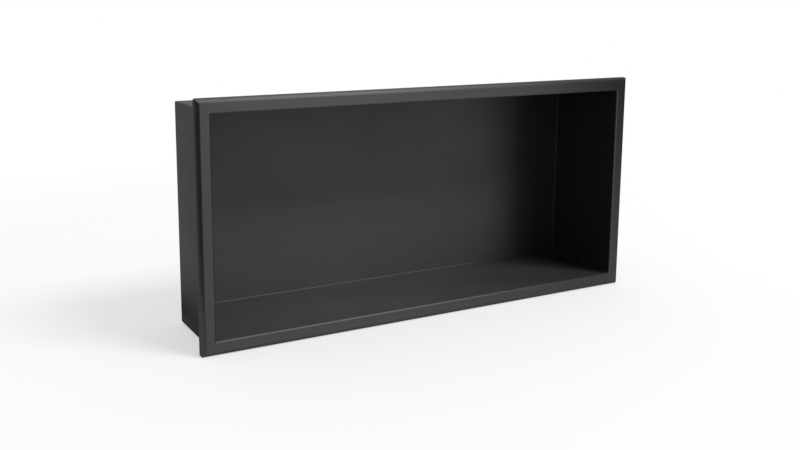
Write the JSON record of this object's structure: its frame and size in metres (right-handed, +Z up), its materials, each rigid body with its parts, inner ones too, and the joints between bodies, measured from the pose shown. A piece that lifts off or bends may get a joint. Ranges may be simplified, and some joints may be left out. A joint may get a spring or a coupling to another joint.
{
  "type": "shower niche insert",
  "caption": "Rectangular brushed black sheet-metal box with a flat front flange, a folded rim and a gently sloping floor, set into a shower wall as a recessed shelf.",
  "frame": {"origin": "middle of the flange, on the plane of the finished wall that the flange's folded rim meets", "axes": "+X along the wall, +Y into the wall, +Z up"},
  "size_m": [0.6, 0.1262, 0.288],
  "materials": {
    "brushed_black_steel": "black coating over brushed stainless sheet"
  },
  "bodies": {
    "root": {"niche_body": "brushed_black_steel"}
  },
  "joints": []
}
